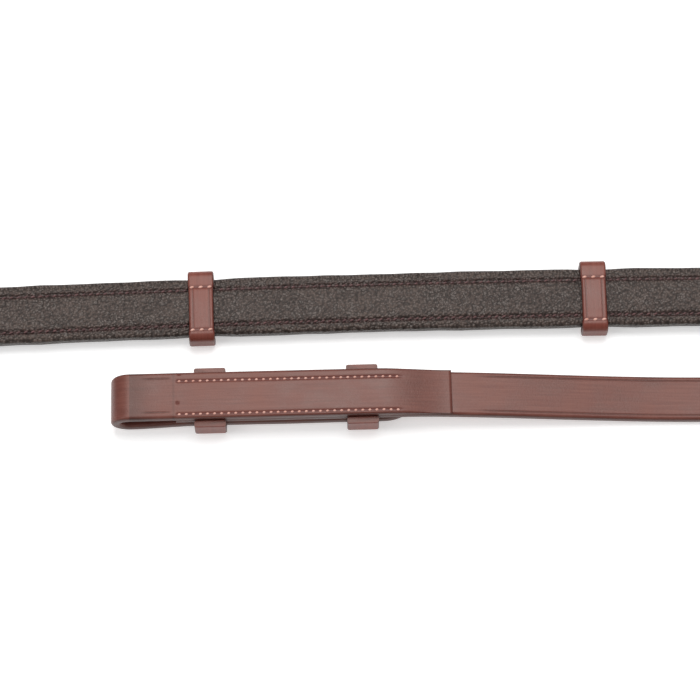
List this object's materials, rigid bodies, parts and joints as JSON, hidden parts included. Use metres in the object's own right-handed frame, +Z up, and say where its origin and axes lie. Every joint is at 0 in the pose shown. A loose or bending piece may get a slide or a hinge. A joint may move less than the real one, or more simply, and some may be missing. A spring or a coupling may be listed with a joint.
{
  "type": "leather reins",
  "caption": "Pair of buckled leather riding reins with hook-stud bit ends, soft pebbled grips and sewn leather stops, laid out with the spare length folded to and fro.",
  "frame": {"origin": "centre of the loop that holds the bit, on half A", "axes": "+X from the loop along the sewn lap, +Y across the strap, +Z up from the table that the reins lie on"},
  "size_m": [0.82, 0.1939, 0.0267],
  "materials": {
    "bridle_leather": "smooth satin",
    "loop_leather": "smooth polished",
    "grip_leather": "soft pebbled",
    "hardware_steel": "polished stainless"
  },
  "bodies": {
    "reins": {"strap_a": "bridle_leather", "billet_a": "bridle_leather", "hook_stud_a": "hardware_steel", "grip_cover_a": "grip_leather", "strap_b": "bridle_leather", "billet_b": "bridle_leather", "hook_stud_b": "hardware_steel", "grip_cover_b": "grip_leather", "bit_keeper_a_1": "loop_leather", "bit_keeper_a_2": "loop_leather", "bit_keeper_b_1": "loop_leather", "bit_keeper_b_2": "loop_leather", "stop_a_1": "loop_leather", "stop_a_2": "loop_leather", "stop_a_3": "loop_leather", "stop_a_4": "loop_leather", "stop_a_5": "loop_leather", "stop_b_1": "loop_leather", "stop_b_2": "loop_leather", "stop_b_3": "loop_leather", "stop_b_4": "loop_leather", "stop_b_5": "loop_leather", "buckle_frame": "hardware_steel", "buckle_keeper": "loop_leather"},
    "tongue": {"buckle_tongue": "hardware_steel"},
    "runner": {"runner_loop": "loop_leather"}
  },
  "joints": [
    {"name": "tongue_hinge", "type": "hinge", "parent": "reins", "child": "tongue", "pos_m": [-0.31312, -0.0155, 0.0009], "axis": [0, -1, 0], "range_deg": [0, 10]},
    {"name": "runner_slide", "type": "slide", "parent": "reins", "child": "runner", "axis": [1, 0, 0], "range_m": [-0.028, 0.014]}
  ]
}
